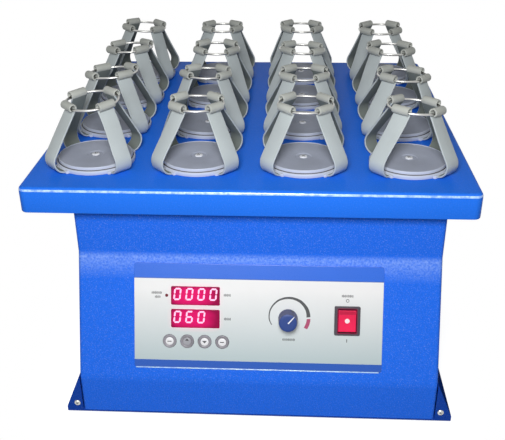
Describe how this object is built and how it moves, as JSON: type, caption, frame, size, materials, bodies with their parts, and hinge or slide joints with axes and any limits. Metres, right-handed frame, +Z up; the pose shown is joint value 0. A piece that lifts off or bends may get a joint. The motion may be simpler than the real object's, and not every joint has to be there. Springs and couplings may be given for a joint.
{
  "type": "flask shaker",
  "caption": "Bench-top orbital flask shaker: enamelled steel case with sloping control panel, and an orbiting tray of strap clips for conical flasks.",
  "frame": {"origin": "on the bench, under the middle of the whole outline", "axes": "+Z up; -Y is the front with the sloping control panel; +X is to the right of someone facing it"},
  "size_m": [0.464, 0.491, 0.3339],
  "materials": {
    "case_paint": "textured satin blue enamel on sheet steel",
    "tray_paint": "glossy blue enamel on sheet steel",
    "pan_paint": "darker blue enamel on sheet steel",
    "foot_rubber": "black matt rubber",
    "plate_steel": "plain plate",
    "cast_alloy": "machined casting",
    "turned_steel": "turned and ground",
    "weight_iron": "as cast",
    "pulley_alloy": "turned",
    "motor_iron": "painted casing",
    "belt_rubber": "belt rubber",
    "panel_plastic": "printed overlay on a plastic plate",
    "display_plastic": "red display window",
    "key_plastic": "silver-ringed key",
    "knob_plastic": "slate blue knob",
    "switch_plastic": "black moulding",
    "rocker_plastic": "translucent red rocker",
    "clip_coat": "light grey plastic strip",
    "ring_wire": "bright wire"
  },
  "bodies": {
    "case": {"case_shell": "case_paint", "rear_panel": "case_paint", "base_pan": "pan_paint", "rubber_foot_left": "foot_rubber", "rubber_foot_right": "foot_rubber", "drive_plate": "plate_steel", "bearing_housing": "cast_alloy", "motor": "motor_iron", "drive_belt": "belt_rubber", "control_panel": "panel_plastic", "display_module": "display_plastic", "switch_body": "switch_plastic", "power_inlet": "switch_plastic"},
    "drive_crank": {"eccentric_shaft": "turned_steel", "counterweight": "weight_iron", "driven_pulley": "pulley_alloy"},
    "platform": {"platform_tray": "tray_paint", "platform_frame": "cast_alloy", "clip_01": "clip_coat", "clip_02": "clip_coat", "clip_03": "clip_coat", "clip_04": "clip_coat", "clip_05": "clip_coat", "clip_06": "clip_coat", "clip_07": "clip_coat", "clip_08": "clip_coat", "clip_09": "clip_coat", "clip_10": "clip_coat", "clip_11": "clip_coat", "clip_12": "clip_coat", "clip_13": "clip_coat", "clip_14": "clip_coat", "clip_15": "clip_coat", "clip_16": "clip_coat", "clip_ring_01": "ring_wire", "clip_ring_02": "ring_wire", "clip_ring_03": "ring_wire", "clip_ring_04": "ring_wire", "clip_ring_05": "ring_wire", "clip_ring_06": "ring_wire", "clip_ring_07": "ring_wire", "clip_ring_08": "ring_wire", "clip_ring_09": "ring_wire", "clip_ring_10": "ring_wire", "clip_ring_11": "ring_wire", "clip_ring_12": "ring_wire", "clip_ring_13": "ring_wire", "clip_ring_14": "ring_wire", "clip_ring_15": "ring_wire", "clip_ring_16": "ring_wire"},
    "motor_rotor": {"motor_pulley": "pulley_alloy"},
    "knob": {"speed_knob": "knob_plastic"},
    "rocker": {"switch_rocker": "rocker_plastic"},
    "idler_1": {"idler_crank_1": "turned_steel"},
    "idler_2": {"idler_crank_2": "turned_steel"},
    "idler_3": {"idler_crank_3": "turned_steel"},
    "key_1_cap": {"key_1": "key_plastic"},
    "key_2_cap": {"key_2": "key_plastic"},
    "key_3_cap": {"key_3": "key_plastic"},
    "key_4_cap": {"key_4": "key_plastic"}
  },
  "joints": [
    {"name": "drive_spin", "type": "hinge", "parent": "case", "child": "drive_crank", "pos_m": [0.01, 0.01545, 0.2], "axis": [0, 0, 1], "continuous": true},
    {"name": "platform_orbit", "type": "hinge", "parent": "drive_crank", "child": "platform", "pos_m": [0, 0.01545, 0.25], "axis": [0, 0, 1], "continuous": true},
    {"name": "motor_spin", "type": "hinge", "parent": "case", "child": "motor_rotor", "pos_m": [0.1255, 0.07045, 0.107], "axis": [0, 0, 1], "continuous": true},
    {"name": "idler_spin_1", "type": "hinge", "parent": "case", "child": "idler_1", "pos_m": [0.01, 0.16545, 0.22], "axis": [0, 0, 1], "continuous": true},
    {"name": "idler_spin_2", "type": "hinge", "parent": "case", "child": "idler_2", "pos_m": [-0.1199, -0.05955, 0.22], "axis": [0, 0, 1], "continuous": true},
    {"name": "idler_spin_3", "type": "hinge", "parent": "case", "child": "idler_3", "pos_m": [0.1399, -0.05955, 0.22], "axis": [0, 0, 1], "continuous": true},
    {"name": "speed_turn", "type": "hinge", "parent": "case", "child": "knob", "pos_m": [0.0422, -0.22136, 0.11869], "axis": [0, -0.9312, 0.3645], "range_deg": [-95, 175]},
    {"name": "mains_rock", "type": "hinge", "parent": "case", "child": "rocker", "pos_m": [0.1049, -0.2206, 0.11732], "axis": [-1, 0, 0], "range_deg": [0, 14]},
    {"name": "key_press_1", "type": "slide", "parent": "case", "child": "key_1_cap", "axis": [0, 0.9312, -0.3645], "range_m": [0, 0.0008], "stiffness_N_per_m": 600, "springref_m": -0.0005},
    {"name": "key_press_2", "type": "slide", "parent": "case", "child": "key_2_cap", "axis": [0, 0.9312, -0.3645], "range_m": [0, 0.0008], "stiffness_N_per_m": 600, "springref_m": -0.0005},
    {"name": "key_press_3", "type": "slide", "parent": "case", "child": "key_3_cap", "axis": [0, 0.9312, -0.3645], "range_m": [0, 0.0008], "stiffness_N_per_m": 600, "springref_m": -0.0005},
    {"name": "key_press_4", "type": "slide", "parent": "case", "child": "key_4_cap", "axis": [0, 0.9312, -0.3645], "range_m": [0, 0.0008], "stiffness_N_per_m": 600, "springref_m": -0.0005}
  ],
  "couplings": [
    {"joint": "platform_orbit", "follows": "drive_spin", "ratio": -1},
    {"joint": "motor_spin", "follows": "drive_spin", "ratio": 3},
    {"joint": "idler_spin_1", "follows": "drive_spin", "ratio": 1},
    {"joint": "idler_spin_2", "follows": "drive_spin", "ratio": 1},
    {"joint": "idler_spin_3", "follows": "drive_spin", "ratio": 1}
  ]
}
